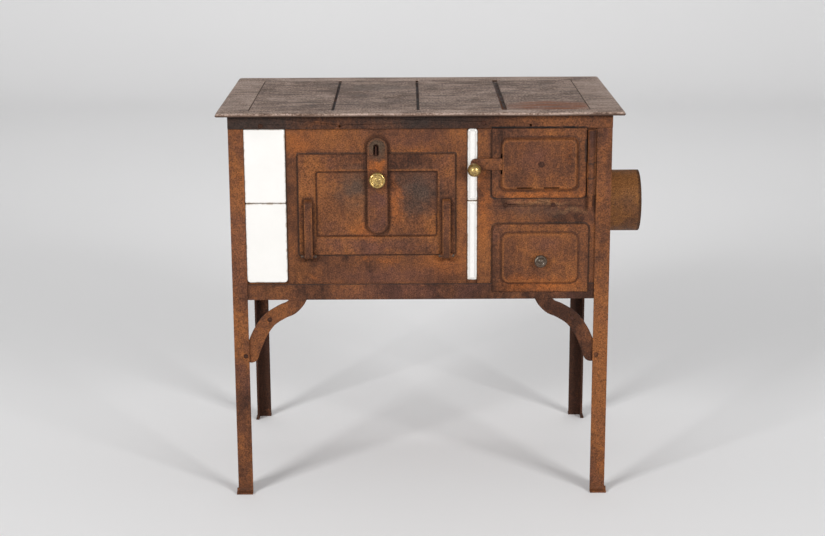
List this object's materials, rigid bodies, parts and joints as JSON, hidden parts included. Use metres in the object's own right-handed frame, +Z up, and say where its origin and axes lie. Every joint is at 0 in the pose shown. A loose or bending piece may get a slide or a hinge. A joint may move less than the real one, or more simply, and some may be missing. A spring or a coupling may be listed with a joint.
{
  "type": "wood burning stove",
  "caption": "Rusted sheet-iron kitchen stove on angle-iron legs, with a drop-down oven door, a fire door over an ash drawer, white tiles, loose cover plates and a side flue.",
  "frame": {"origin": "middle of the footprint of the whole object, flue stub and knobs included, at floor level", "axes": "+X to the right of someone facing the stove, +Y from the front to the back, +Z up"},
  "size_m": [0.877, 0.531, 0.8],
  "materials": {
    "rust_iron": "rusted sheet iron with dark patches",
    "sheet_iron": "rusted thin sheet",
    "sooty_iron": "sooty, oiled iron",
    "top_iron": "worn grey-brown iron",
    "cast_iron": "raw casting",
    "white_glaze": "glossy white glaze",
    "fire_brick": "rough fired clay",
    "brass": "worn brass",
    "bright_steel": "worn bright steel"
  },
  "bodies": {
    "stove": {"post_front_left": "rust_iron", "post_front_right": "rust_iron", "post_rear_left": "rust_iron", "post_rear_right": "rust_iron", "bracket_left": "rust_iron", "bracket_right": "rust_iron", "lower_front_rail": "rust_iron", "oven_front_plate": "rust_iron", "fire_front_plate": "rust_iron", "flue_stub": "rust_iron", "oven_hinge_ears": "rust_iron", "fire_hinge_frame_leaf": "rust_iron", "rivets": "rust_iron", "side_panel_left": "sheet_iron", "side_panel_right": "sheet_iron", "back_panel": "sheet_iron", "bottom_panel": "sheet_iron", "tile_backing": "sheet_iron", "oven_box": "sheet_iron", "shelf_runners": "sheet_iron", "oven_shelf": "sheet_iron", "front_frieze": "sooty_iron", "cover_bars": "sooty_iron", "upper_side_rails": "sooty_iron", "upper_rear_rail": "sooty_iron", "firebox_divider": "sooty_iron", "firebox_back": "sooty_iron", "smoke_chamber_lid": "sooty_iron", "grate_frame": "sooty_iron", "flue_collar": "sooty_iron", "drawer_guides": "sooty_iron", "top_frame": "top_iron", "grate": "cast_iron", "tile_wide_upper": "white_glaze", "tile_wide_lower": "white_glaze", "tile_narrow_upper": "white_glaze", "tile_narrow_lower": "white_glaze", "fire_brick_left": "fire_brick", "fire_brick_right": "fire_brick", "fire_brick_back": "fire_brick", "oven_hinge_pins": "bright_steel", "fire_hinge_pin": "bright_steel", "latch_tongue": "bright_steel"},
    "oven_door": {"oven_door_panel": "rust_iron", "oven_door_liner": "sheet_iron", "oven_hinge_bars": "rust_iron", "latch_strap_lugs": "rust_iron"},
    "oven_latch": {"latch_strap": "rust_iron", "oven_knob": "brass"},
    "fire_door": {"fire_door_panel": "rust_iron", "fire_door_baffle": "sooty_iron", "fire_hinge_door_leaf": "rust_iron"},
    "fire_latch": {"fire_latch_bar": "brass"},
    "ash_drawer": {"ash_drawer_front": "rust_iron", "ash_pan": "sheet_iron", "ash_drawer_knob": "bright_steel"},
    "cover_1": {"cover_plate_1": "top_iron"},
    "cover_2": {"cover_plate_2": "top_iron"},
    "cover_3": {"cover_plate_3": "top_iron"},
    "cover_4": {"cover_plate_4": "top_iron"}
  },
  "joints": [
    {"name": "oven_door_drop", "type": "hinge", "parent": "stove", "child": "oven_door", "pos_m": [-0.1225, -0.2415, 0.508], "axis": [1, 0, 0], "range_deg": [0, 90]},
    {"name": "oven_latch_tilt", "type": "hinge", "parent": "oven_door", "child": "oven_latch", "pos_m": [-0.121, -0.2336, 0.564], "axis": [1, 0, 0], "range_deg": [0, 6], "stiffness_Nm_per_rad": 5, "springref_deg": -5.73},
    {"name": "fire_door_swing", "type": "hinge", "parent": "stove", "child": "fire_door", "pos_m": [0.3025, -0.2375, 0.69], "axis": [0, 0, 1], "range_deg": [0, 110]},
    {"name": "fire_latch_lift", "type": "hinge", "parent": "fire_door", "child": "fire_latch", "pos_m": [0.2042, -0.23765, 0.693], "axis": [0, 1, 0], "range_deg": [0, 5.5]},
    {"name": "ash_drawer_slide", "type": "slide", "parent": "stove", "child": "ash_drawer", "axis": [0, -1, 0], "range_m": [0, 0.19]},
    {"name": "cover_1_lift", "type": "slide", "parent": "stove", "child": "cover_1", "axis": [0, 0, 1], "range_m": [0, 0.06]},
    {"name": "cover_2_lift", "type": "slide", "parent": "stove", "child": "cover_2", "axis": [0, 0, 1], "range_m": [0, 0.06]},
    {"name": "cover_3_lift", "type": "slide", "parent": "stove", "child": "cover_3", "axis": [0, 0, 1], "range_m": [0, 0.06]},
    {"name": "cover_4_lift", "type": "slide", "parent": "stove", "child": "cover_4", "axis": [0, 0, 1], "range_m": [0, 0.06]}
  ]
}
